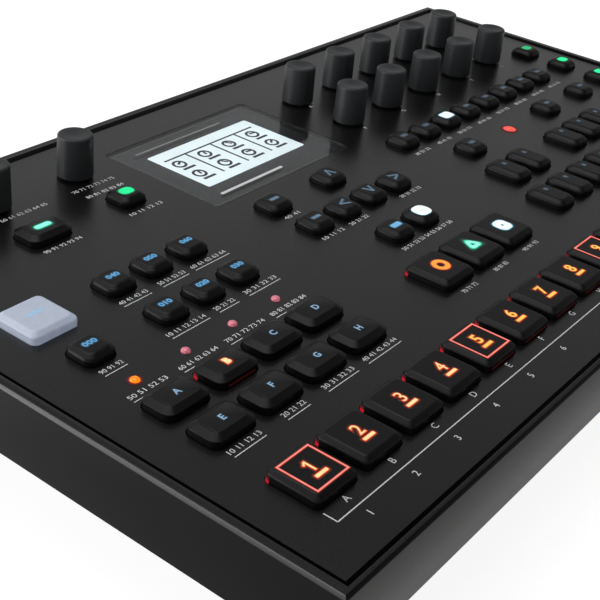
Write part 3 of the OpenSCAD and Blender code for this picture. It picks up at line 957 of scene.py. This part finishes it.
@dataclass(frozen=True)
class Keyboard:
    """All the keys with their lit marks."""

    layout: Layout
    marks: KeyMarks
    leak: CornerLeak = CornerLeak(SQUARE_KEY)
    leaking_steps: range = range(5, 9)
    lit_bank: int = 1
    lit_page: int = 2

    def build(self) -> None:
        """Builds every block of keys."""
        self.build_steps()
        self.build_transport()
        self.build_banks()
        self.build_modes()
        self.build_arrows()
        self.build_pages()
        self.build_notes()
        self.build_selectors()

    @staticmethod
    def put(body: str, cap: str, parts: list[Part], sign: str, lit: list[Part]) -> None:
        """Puts caps and their lit marks on a body, in place of its CAD node."""
        assemble(cap, parts, body, Slot.KEY, body)
        assemble(sign, lit, body, Slot.LAMP)

    def build_steps(self) -> None:
        """Builds the sixteen step keys, each on its own body."""
        for number, place in enumerate(self.layout.steps(), 1):
            lit = self.marks.step(place, number) + self.leak.at(place)
            if number in self.leaking_steps:
                lit += self.leak.front(place)
            tag, cap = f"{number:02d}", caps(SQUARE_KEY, [place])
            self.put(f"step_key_{tag}", f"step_cap_{tag}", cap, f"step_figure_{tag}", lit)

    def build_transport(self) -> None:
        """Builds the record, play, stop and function keys."""
        record, play, stop = self.layout.transports()
        signs = {
            "record": (record, self.marks.lit(record, RECORD_RING, AMBER) + self.leak.at(record)),
            "play": (play, self.marks.lit(play, PLAY_RING, MINT)),
            "stop": (stop, self.marks.lit(stop, STOP_RING, COOL_WHITE)),
        }
        for name, (place, lit) in signs.items():
            self.put(f"{name}_key", f"{name}_cap", caps(SQUARE_KEY, [place]), f"{name}_sign", lit)
        x, y = self.layout.column_x, self.layout.upper_y
        cap = caps(SQUARE_KEY, [(x, y)], WHITE_PLASTIC)
        assemble("function_cap", cap, "function_key", Slot.WHITE, "function_key")
        dot, pitch, up = strip(1.5, 1.7, 0.5), 2.0, 0.6
        dots = [Part(dot, self.marks.over(x + pitch * k, y + up), BLUE_INK) for k in (-1, 0, 1)]
        assemble("function_sign", dots, "function_key", Slot.LAMP)

    def build_banks(self) -> None:
        """Builds the eight bank keys with their letters, one of them lit."""
        places = self.layout.banks()
        leak, bright = CornerLeak(BAR_KEY), places[self.lit_bank]
        letters = leak.at(bright) + leak.front(bright)
        for letter, place in zip("ABCDEFGH", places):
            spread, bold, glow = (1.0, 0.3, ORANGE) if place == bright else (0.6, 0.0, PALE_BLUE)
            glyph = Glyph(letter, self.marks.letter_height, spread=spread, bold=bold)
            letters += self.marks.lit(place, glyph, glow)
        self.put("bank_keys", "bank_caps", caps(BAR_KEY, places), "bank_letters", letters)

    def build_modes(self) -> None:
        """Builds the performance key and the six mode keys with plain figures."""
        places = self.layout.modes()
        figures = []
        for k, (x, y) in enumerate(places):
            glyph = Glyph(f"{10 * k:03d}", *self.marks.mode_size)
            figures += self.marks.lit((x, y + self.marks.mode_up), glyph, BLUE)
        self.put("mode_keys", "mode_caps", caps(SMALL_KEY, places), "mode_figures", figures)

    def build_arrows(self) -> None:
        """Builds the arrow block with its arrow heads and lit bars."""
        places = self.layout.arrows()
        signs = []
        for k, turn in {1: 180.0, 2: 270.0, 3: 0.0, 5: 90.0}.items():
            signs += self.marks.lit(places[k], ARROW, SLATE, turn)
        bars = {0: (ARROW_BAR, SLATE), 4: (ARROW_BAR, SLATE), 6: (PAIR_DIM, BLUE), 7: (PAIR_LIT, COOL_WHITE)}
        for k, (bar, glow) in bars.items():
            signs += self.marks.lit(places[k], bar, glow)
        self.put("navigation_keys", "navigation_caps", caps(SMALL_KEY, places), "navigation_signs", signs)

    def build_pages(self) -> None:
        """Builds the page keys, the third of them lit, and the last key of the step row."""
        places = self.layout.pages()
        last = (self.layout.row_x(16), self.layout.step_y)
        signs = self.marks.lit(last, SMALL_ARROW, SLATE)
        for k, place in enumerate(places):
            bar, glow = (PAGE_LIT, COOL_WHITE) if k == self.lit_page else (PAGE_DIM, BLUE_DIM)
            signs += self.marks.lit(place, bar, glow)
        parts = caps(SMALL_KEY, places) + caps(SQUARE_KEY, [last])
        self.put("page_keys", "page_caps", parts, "page_signs", signs)

    def build_notes(self) -> None:
        """Builds the thirteen note keys with small dim dots."""
        places = self.layout.notes()
        dots = []
        for x, y in places:
            dots += self.marks.lit((x, y + self.marks.note_up), NOTE_DOT, BLUE_DIM)
        self.put("note_keys", "note_caps", caps(NOTE_KEY, places), "note_dots", dots)

    def build_selectors(self) -> None:
        """Builds the five selector keys, all lit green."""
        places = self.layout.selectors()
        wide = (self.layout.wide_selector_x, self.layout.selector_y)
        signs = self.marks.lit(wide, WIDE_GREEN, MINT)
        for place, glow in zip(places, (GREEN, GREEN, GREEN, GREEN_DIM)):
            signs += self.marks.lit(place, SMALL_GREEN, glow)
        parts = caps(SMALL_KEY, places) + caps(BAR_KEY, [wide])
        self.put("selector_keys", "selector_caps", parts, "selector_signs", signs)


@dataclass(frozen=True)
class Knob:
    """Tall soft-touch knob with a dished top, in millimetres."""

    diameter: float = 13.1
    foot: float = 1.0
    top: float = 16.3
    taper: float = 0.25
    edge: float = 0.8
    rim: Place = (0.7, -0.05)
    dish_steps: int = 3
    dish_step: Place = (1.2, -0.18)
    hollow: Place = (1.0, 3.8)
    shaft: float = 6.0
    shaft_foot: float = -1.5
    shaft_grip: float = 0.5

    @cache
    def mesh(self) -> Mesh:
        """Models the cap once and returns its mesh."""
        radius = self.diameter / 2
        narrow = 1.0 - self.taper / radius
        cap = Solid.rod(72, radius, self.foot, self.top)
        with cap.editing():
            cap.facing(1.0)
            bpy.ops.transform.resize(value=(narrow, narrow, 1.0))
            cap.choose(Pick.EDGE, lambda e: min(v.co.z for v in e.verts) > self.top - 0.01)
            bpy.ops.mesh.bevel(offset=self.edge, segments=5, affect="EDGES")
            cap.facing(1.0, FLAT)
            for width, rise in (self.rim, *[self.dish_step] * self.dish_steps):
                bpy.ops.mesh.inset(thickness=width, depth=rise)
            cap.facing(-1.0)
            bpy.ops.mesh.inset(thickness=self.hollow[0])
            cap.extrude(self.hollow[1])
        bpy.ops.object.shade_smooth_by_angle(angle=math.radians(40.0))
        return cap.mesh()

    @cache
    def shaft_mesh(self) -> Mesh:
        """Models the shaft that runs down into the bushing and returns its mesh."""
        rod = Solid.rod(32, self.shaft / 2, self.shaft_foot, self.foot + self.hollow[1] + self.shaft_grip)
        rod.soften(0.3, 2, 60.0)
        return rod.mesh()

    def build(self, places: dict[str, Place]) -> None:
        """Builds a knob on each body.

        Args:
            places: Places on the panel by body.
        """
        for body, place in places.items():
            spot = PANEL.at(*place)
            parts = [Part(self.mesh(), spot, KNOB_PLASTIC), Part(self.shaft_mesh(), spot, STEEL)]
            assemble(f"{body}_cap", parts, body, Slot.KNOB, body)


@dataclass(frozen=True)
class Lamps:
    """Domed status lamps in millimetres."""

    radius: float = 1.5
    height: float = 1.05
    foot: float = -2.0
    gap: float = 0.02
    lifts: Place = (0.03, 0.06)
    near_spill: tuple[float, ...] = (2.4, 1.9)
    far_spill: tuple[float, ...] = (3.8, 3.2, 2.6)

    @cache
    def mesh(self) -> Mesh:
        """Models one dome with its straight stem and returns its mesh."""
        middle = (0.0, 0.0, 0.0)
        dome = Solid.start(
            bpy.ops.mesh.primitive_uv_sphere_add, segments=32, ring_count=16, radius=self.radius)
        with dome.editing():
            dome.everything()
            bpy.ops.mesh.bisect(plane_co=middle, plane_no=(0.0, 0.0, -1.0), clear_outer=True, use_fill=True)
            dome.everything()
            bpy.ops.transform.resize(value=(1.0, 1.0, self.height / self.radius), center_override=middle)
            dome.facing(-1.0)
            dome.extrude(self.foot)
        bpy.ops.object.shade_smooth_by_angle(angle=math.radians(50.0))
        return dome.mesh()

    def build(self, places: list[Place]) -> None:
        """Builds the lamps, the first lit orange, the last lit red and the others off, the off ones with a painted
        glow.

        Args:
            places: Places on the panel.
        """
        finishes = [LAMP_ORANGE, LAMP_OFF_PAINTED_GLOW, LAMP_OFF_PAINTED_GLOW, LAMP_OFF_PAINTED_GLOW, LAMP_RED]
        parts = [Part(self.mesh(), PANEL.at(*place), finish) for place, finish in zip(places, finishes)]
        first, step = self.lifts
        for place, glow, spill in ((places[0], ORANGE, self.near_spill), (places[-1], RED, self.far_spill)):
            for layer, (outer, finish) in enumerate(zip(spill, glow.layers())):
                ring = outline(32, outer, self.radius + self.gap)
                parts.append(Part(ring, PANEL.at(*place, first + step * layer), finish))
        assemble("lamp_domes", parts, "case", Slot.LAMP, "status_lamps")


@dataclass(frozen=True)
class Display:
    """Window pane, mask and lit screen, in millimetres."""

    middle: Place = LAYOUT.window
    size: Place = LAYOUT.window_size
    thickness: float = 1.6
    corner: float = 1.5
    screen_up: float = 1.3
    screen_size: Place = (57.0, 31.0)
    screen_depth: float = -1.68
    layer: float = 0.06
    mask_inset: float = 5.4
    columns: int = 4
    dial: Place = (3.0, 1.9)
    dial_rows: Place = (4.4, -5.6)
    pointer: Place = (2.8, 1.0)
    caption: Place = (6.4, 1.3)
    divider: Place = (19.5, 0.9)

    def pane_mesh(self) -> Mesh:
        """Models the pane with rounded corners and a fine polished edge."""
        pane = Solid.block(self.size, -self.thickness, 0.0, self.corner, 5)
        pane.soften(0.15, 2)
        return pane.mesh()

    def picture(self) -> list[Part]:
        """Plain dials, bars and rules on the screen.

        Returns:
            The placed marks.
        """
        x, y = self.middle[0], self.middle[1] + self.screen_up
        wide, high = self.screen_size
        step = wide / self.columns

        def mark(mesh: Mesh, dx: float, dy: float, turn: float = 0.0) -> Part:
            """One dark mark at a place on the screen."""
            return Part(mesh, PANEL.at(x + dx, y + dy, self.screen_depth + self.layer, turn), DARK_PIXEL)

        marks = []
        for k in range(self.columns):
            left = (k + 0.5) * step - wide / 2
            for row, up in enumerate(self.dial_rows):
                marks.append(mark(outline(20, *self.dial), left - 1.2, up))
                marks.append(mark(strip(*self.pointer), left - 0.6, up + 0.7, 30.0 + 47.0 * (k + row)))
                marks.append(mark(strip(*self.caption), left - 0.4, up - 4.3))
            if k:
                marks.append(mark(strip(*self.divider), k * step - wide / 2, -0.8, 90.0))
        marks.append(mark(strip(wide - 6.0, self.divider[1]), 0.0, high / 2 - 6.2))
        return marks

    def build(self) -> None:
        """Builds the pane, the mask under it, the screen and its picture."""
        x, y = self.middle
        pane = assemble(
            "display_pane", [Part(self.pane_mesh(), PANEL.at(x, y), PANE)], "case", Slot.GLASS,
            "display_window")
        pane.data.materials.append(PANE_EDGE.material())
        for face in pane.data.polygons:
            face.material_index = int(abs(face.normal.dot(PANEL.up())) < LEVEL)
        wide, high = (side - self.mask_inset for side in self.size)
        mask = Part(strip(wide, high, 1.0), PANEL.at(x, y, self.screen_depth - self.layer), MASK)
        spot = PANEL.at(x, y + self.screen_up, self.screen_depth)
        screen = Part(strip(*self.screen_size, 0.8), spot, SCREEN)
        assemble("display_mask", [mask], "case", Slot.DISPLAY)
        assemble("display_screen", [screen], "case", Slot.DISPLAY)
        assemble("display_picture", self.picture(), "case", Slot.DISPLAY)


Rows = tuple[tuple[float, tuple[Place, ...]], ...]


@dataclass(frozen=True)
class PanelPrint:
    """White print on the panel in millimetres, its rows as spans from the case's left edge."""

    half_width: float = 192.5
    height: float = 1.75
    figure_width: float = 1.25
    line: float = 0.28
    line_down: float = 2.15
    lift: float = 0.03
    letter_height: float = 2.2
    step_line: tuple[float, float, float] = (20.3, 366.5, 17.0)
    step_line_width: float = 0.34
    leg: float = 4.3
    letter_y: float = 20.6
    number_y: float = 13.3
    numbers: int = 6
    page_row: Place = (121.5, 5.0)
    knob_rows: Place = (178.7, 150.4)
    knob_letter: float = 2.0
    window_rules: tuple[tuple[Place, Place], ...] = (
        ((48.0, 0.8), (157.0, 192.2)), ((35.0, 1.3), (150.5, 150.0)))
    underlined: Rows = (
        (52.5, ((21.8, 34.7), (44.0, 53.8), (62.3, 76.8), (81.8, 98.8))),
        (86.5, ((20.7, 35.7), (40.7, 56.8), (60.7, 78.3), (81.8, 98.7))),
        (100.3, ((23.8, 32.5), (50.8, 67.3), (71.7, 80.8), (85.8, 101.2))),
        (122.0, ((53.3, 65.2), (70.3, 82.2), (85.3, 101.8))),
    )
    plain: Rows = (
        (52.2, ((138.0, 146.7), (158.8, 167.2), (179.0, 189.0))),
        (104.5, ((133.0, 144.7), (148.7, 159.5), (181.0, 194.0))),
        (122.7, ((135.0, 143.0),)), (81.5, ((147.5, 178.8),)), (184.8, ((62.0, 82.0),)),
        (184.5, ((94.0, 113.6),)), (178.8, ((95.0, 112.6),)), (159.8, ((58.2, 74.2), (97.0, 112.4))),
        (184.8, ((20.0, 38.0),)),
    )

    @staticmethod
    def figures(count: int, seed: int) -> str:
        """A row of two-figure numbers of about a given length, starting from a seed."""
        pairs = max(1, round((count + 1) / 3))
        return " ".join(f"{(10 * seed + k) % 90 + 10}" for k in range(pairs))

    def mark(self, mesh: Mesh, x: float, y: float, turn: float = 0.0) -> Part:
        """White print at a place counted from the case's left edge."""
        return Part(mesh, PANEL.at(x - self.half_width, y, self.lift, turn), PRINT)

    def rows(self) -> list[Part]:
        """Rows of figures beside the keys, the first of them with a line under each.

        Returns:
            The placed print.
        """
        page_y, half = self.page_row
        middles = [LAYOUT.small_x(k) + self.half_width for k in range(8)]
        pages = (page_y, tuple((x - half, x + half) for x in middles))
        spans = [(span, y, ruled) for ruled, table in ((True, self.underlined), (False, (*self.plain, pages)))
                 for y, row in table for span in row]
        parts = []
        for seed, ((first, last), y, ruled) in enumerate(spans):
            width, middle = last - first, (first + last) / 2
            text = self.figures(round(width / self.figure_width), seed)
            parts.append(self.mark(lettering(text, self.height, width), middle, y))
            if ruled:
                parts.append(self.mark(strip(width, self.line), middle, y - self.line_down))
        return parts

    def step_row(self) -> list[Part]:
        """Long line in front of the step keys, with letters behind it and figures before it.

        Returns:
            The placed print.
        """
        start, end, line_y = self.step_line
        parts = [self.mark(strip(end - start, self.step_line_width), (start + end) / 2, line_y)]
        parts += [self.mark(strip(self.leg, self.step_line_width), x, line_y + self.leg / 2, 90.0)
                  for x in (start, end)]
        for k, letter in enumerate("ABCDEFGHIJKLMNOP"):
            x = LAYOUT.row_x(k) + self.half_width
            parts.append(self.mark(lettering(letter, self.letter_height), x, self.letter_y))
            if k < self.numbers:
                parts.append(self.mark(lettering(f"{k + 1}", self.letter_height), x, self.number_y))
        return parts

    def knob_letters(self) -> list[Part]:
        """One letter in front of each data knob."""
        first = LAYOUT.data_x + self.half_width
        return [self.mark(lettering(letter, self.knob_letter), first + k * LAYOUT.data_pitch, y)
                for y, letters in zip(self.knob_rows, ("ABCDE", "FGHIJ")) for k, letter in enumerate(letters)]

    def window_lines(self) -> list[Part]:
        """Plain grey rule over the screen and a white one under it."""
        (size, (x, y)), (white_size, white_place) = self.window_rules
        grey = Part(strip(*size), PANEL.at(x - self.half_width, y, self.lift), PRINT_GREY)
        return [grey, self.mark(strip(*white_size, rounding=0.3), *white_place)]

    def build(self) -> None:
        """Prints the panel."""
        parts = self.step_row() + self.knob_letters() + self.window_lines() + self.rows()
        assemble("panel_print", parts, "case", Slot.WHITE)


@dataclass(frozen=True)
class RearPrint:
    """A plain number over each round socket of the rear wall, in millimetres."""

    height: float = 2.6
    rise: float = 12.6
    barrel: float = 1.2
    lift: float = 0.03

    def build(self) -> None:
        """Prints the numbers of the sockets that the record states as bores."""
        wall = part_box("audio_jacks")[1].y + (self.lift - self.barrel) * MM
        facing = Matrix(((-1.0, 0.0, 0.0), (0.0, 0.0, 1.0), (0.0, 1.0, 0.0))).to_4x4() @ Matrix.Scale(MM, 4)
        parts = []
        for mount in frame["record"]["mounts"]:
            if mount["kind"] == "bore":
                x, _, z = mount["pos_m"]
                place = Matrix.Translation((x, wall, z + self.rise * MM)) @ facing
                parts.append(Part(lettering(mount["name"].rsplit("_", 1)[1], self.height), place, PRINT))
        assemble("rear_print", parts, "case", Slot.WHITE)


@dataclass(frozen=True)
class Shells:
    """Case shells and sockets: softened copies of the CAD nodes in their finishes, in millimetres."""

    soft_edges: tuple[tuple[str, float, Slot, Finish], ...] = (
        ("lower_case", 0.35, Slot.BASE, BASE_METAL),
        ("rubber_feet", 0.5, Slot.RUBBER, RUBBER),
        ("audio_jacks", 0.25, Slot.PLASTIC, BLACK_PLASTIC),
        ("midi_sockets", 0.25, Slot.PLASTIC, BLACK_PLASTIC),
        ("usb_socket", 0.2, Slot.STEEL, STEEL),
        ("power_inlet", 0.25, Slot.PLASTIC, BLACK_PLASTIC),
        ("power_switch", 0.25, Slot.PLASTIC, BLACK_PLASTIC),
        ("power_rocker", 0.3, Slot.PLASTIC, BLACK_PLASTIC),
        ("fixing_nuts", 0.25, Slot.STEEL, BLACK_STEEL),
        ("case_screws", 0.2, Slot.STEEL, BLACK_STEEL),
    )
    rim_edge: float = 0.18
    chamfer_rise: Place = (0.55, 0.85)
    faceplate: Place = (2.6, 0.35)
    merge: float = 0.002

    def soften(self, node: str, width: float) -> Mesh:
        """Copies a node's mesh, joins its triangles and rounds its edges.

        Args:
            node: Name of the node.
            width: Width of the rounding.

        Returns:
            The rounded mesh.
        """
        clear_selection()
        copy = frame["nodes"][node].copy()
        copy.data = frame["nodes"][node].data.copy()
        copy.parent = None
        bpy.context.scene.collection.objects.link(copy)
        copy.select_set(True)
        bpy.context.view_layer.objects.active = copy
        solid = Solid(copy)
        with solid.editing():
            solid.everything()
            bpy.ops.mesh.remove_doubles(threshold=self.merge * MM)
            bpy.ops.mesh.dissolve_limited(angle_limit=math.radians(1.0))
        solid.soften(width * MM, 2, 30.0)
        return solid.mesh()

    def blacken_faceplate(self, socket: Object) -> None:
        """Gives a metal socket's faceplate, behind its protruding shell, the black of its neighbours.

        Args:
            socket: The dressed socket.
        """
        socket.data.materials.append(BLACK_PLASTIC.material())
        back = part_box("usb_socket")[1].y
        first, last = (back - depth * MM for depth in self.faceplate)
        for face in socket.data.polygons:
            face.material_index = int(first < face.center.y < last)

    def build(self) -> None:
        """Builds the softened shells and sockets."""
        here = Matrix.Identity(4)
        for node, width, slot, finish in self.soft_edges:
            body = "power_rocker" if node == "power_rocker" else "case"
            assemble(f"{node}_shell", [Part(self.soften(node, width), here, finish)], body, slot, node)
        self.blacken_faceplate(bpy.data.objects["usb_socket_shell"])
        shell = Part(self.soften("upper_case", self.rim_edge), here, CASE_METAL)
        self.paint_rim(assemble("upper_case_shell", [shell], "case", Slot.CASE, "upper_case"))

    def paint_rim(self, rim: Object) -> None:
        """Gives the upper case's chamfers, front and top their own finishes; the front's lighter finish is painted
        light and the side chamfers' lighter metal is partly a painted highlight.

        Args:
            rim: The dressed upper case.
        """
        for finish in (CHAMFER_METAL_AND_SHEEN, FRONT_METAL_PAINTED_LIGHT, PANEL_METAL):
            rim.data.materials.append(finish.material())
        up = PANEL.up()
        least, most = self.chamfer_rise
        for face in rim.data.polygons:
            rise = face.normal.dot(up)
            # Side chamfers take the lighter metal, partly a painted highlight.
            slanted = least < rise < most and abs(face.normal.x) > 0.5
            # Faces that look forward take the front finish, its lighter colour painted light.
            facing = face.normal.y < -LEVEL
            face.material_index = 1 if slanted else 2 if facing else 3 if rise > most else 0


def dress_nodes() -> None:
    """Gives every CAD node that still shows, or is inside, its finish by its record slot."""
    slots = {part["node"]: part["material_slot"] for part in frame["record"]["subparts"]}
    for name, node in frame["nodes"].items():
        node.data.materials.clear()
        node.data.materials.append(SLOT_FINISH[slots[name]].material())


@dataclass(frozen=True)
class Softbox:
    """A square soft lamp: its place and aim in metres, side in metres and power in watts."""

    name: str
    place: Colour
    aim: Colour
    size: float
    power: float

    def hang(self) -> None:
        """Hangs the lamp, out of the camera's sight."""
        lamp = bpy.data.lights.new(self.name, "AREA")
        lamp.shape = "SQUARE"
        lamp.size = self.size
        lamp.energy = self.power
        obj = bpy.data.objects.new(self.name, lamp)
        obj.location = self.place
        obj.rotation_euler = (Vector(self.aim) - Vector(self.place)).to_track_quat("-Z", "Y").to_euler()
        obj.visible_camera = False
        bpy.context.scene.collection.objects.link(obj)


@dataclass(frozen=True)
class Studio:
    """Floor, soft light and camera, in metres."""

    floor_size: float = 40.0
    floor_grey: float = 0.80
    seen_grey: float = 0.20
    seen_white: float = 0.90
    camera: Colour = (-0.366434, -0.230234, 0.221866)
    right: Colour = (0.60443, -0.79666, 0.00206)
    up: Colour = (0.35716, 0.27329, 0.89317)
    back: Colour = (-0.71211, -0.53912, 0.44972)
    lens: float = 73.352
    sensor: float = 36.0
    near_clip: float = 0.01
    room: tuple[Place, ...] = (
        (0.0, 0.64), (0.28, 0.60), (0.40, 0.47), (0.46, 0.45), (0.52, 0.49), (0.58, 0.48), (0.66, 0.24),
        (0.74, 0.165), (1.0, 0.16))
    bright_side: Colour = (-0.604, 0.797, 0.0)
    side_levels: Place = (0.30, 1.70)
    lamps: tuple[Softbox, ...] = (
        Softbox("overhead_softbox", (-0.1, 0.1, 1.2), (0.0, 0.0, 0.05), 0.9, 7.0),
        Softbox("back_left_softbox", (-0.55, 0.65, 0.85), (0.0, 0.0, 0.05), 0.8, 2.0),
        Softbox("left_softbox", (-0.85, 0.62, 0.30), (-0.05, 0.05, 0.05), 0.5, 4.5),
    )

    @staticmethod
    def seen(sheet: NodeSheet) -> Socket:
        """Socket that is 1 for the camera, gloss and glass, and 0 for the light on the object.

        Args:
            sheet: Node tree that gets the nodes.

        Returns:
            The socket.
        """
        path = sheet.node("LightPath")
        found = path.outputs["Is Camera Ray"]
        for ray in ("Is Glossy Ray", "Is Transmission Ray"):
            either = sheet.node("Math")
            either.operation = "MAXIMUM"
            sheet.link(found, either.inputs[0])
            sheet.link(path.outputs[ray], either.inputs[1])
            found = either.outputs[0]
        return found

    def build_floor(self) -> None:
        """Lays a pale floor that shows white to the camera and keeps the object's shadow."""
        floor = Solid.start(bpy.ops.mesh.primitive_plane_add, size=self.floor_size)
        with floor.editing():
            floor.everything()
            bpy.ops.mesh.subdivide(number_cuts=3)
        sheet = NodeSheet.of_material("floor_paper")
        sheet.set(Roughness=0.9, Emission_Color=(1.0, 1.0, 1.0, 1.0))
        seen = self.seen(sheet)
        grey = sheet.blend(seen, (self.floor_grey,) * 3, (self.seen_grey,) * 3)
        sheet.link(grey, sheet.shader.inputs["Base Color"])
        white = sheet.node("MapRange", To_Max=self.seen_white)
        sheet.link(seen, white.inputs["Value"])
        sheet.link(white.outputs["Result"], sheet.shader.inputs["Emission Strength"])
        floor.obj.data.materials.append(sheet.owner)
        floor.obj.name = "studio_floor"

    def build_world(self) -> None:
        """Fills the room with soft light, graded by height and by side."""
        world = bpy.data.worlds.new("studio_room")
        bpy.context.scene.world = world
        sheet = NodeSheet(world, "Background")
        direction = sheet.node("TexCoord").outputs["Generated"]
        split = sheet.node("SeparateXYZ")
        ramp = sheet.node("ValToRGB")
        stops = ramp.color_ramp.elements
        while len(stops) < len(self.room):
            stops.new(1.0)
        for stop, (height, level) in zip(stops, self.room):
            stop.position = height
            stop.color = (level, level, level, 1.0)
        side = sheet.node("VectorMath")
        side.operation = "DOT_PRODUCT"
        side.inputs[1].default_value = self.bright_side
        dim, bright = self.side_levels
        strength = sheet.node("MapRange", From_Min=-1.0, From_Max=1.0, To_Min=dim, To_Max=bright)
        for source, target in (
                (direction, split.inputs[0]), (split.outputs["Z"], ramp.inputs[0]),
                (ramp.outputs[0], sheet.shader.inputs["Color"]), (direction, side.inputs[0]),
                (side.outputs["Value"], strength.inputs["Value"]),
                (strength.outputs["Result"], sheet.shader.inputs["Strength"])):
            sheet.link(source, target)

    def build_camera(self) -> None:
        """Puts the camera where the photograph was taken from."""
        data = bpy.data.cameras.new("camera")
        data.lens = self.lens
        data.sensor_width = self.sensor
        data.clip_start = self.near_clip
        camera = bpy.data.objects.new("camera", data)
        turn = Matrix((self.right, self.up, self.back)).transposed()
        camera.matrix_world = Matrix.Translation(self.camera) @ turn.to_4x4()
        bpy.context.scene.collection.objects.link(camera)
        bpy.context.scene.camera = camera

    def build(self) -> None:
        """Builds the whole studio."""
        bpy.context.scene.view_settings.view_transform = "Standard"
        self.build_camera()
        self.build_world()
        self.build_floor()
        for lamp in self.lamps:
            lamp.hang()


def main() -> None:
    """Builds the studio and every piece."""
    logging.basicConfig(level=logging.INFO, format="%(message)s")
    Studio().build()
    dress_nodes()
    Shells().build()
    Keyboard(LAYOUT, KeyMarks()).build()
    Knob().build(LAYOUT.knobs())
    Lamps().build(LAYOUT.lamps())
    Display().build()
    PanelPrint().build()
    RearPrint().build()


if __name__ == "__main__":
    main()
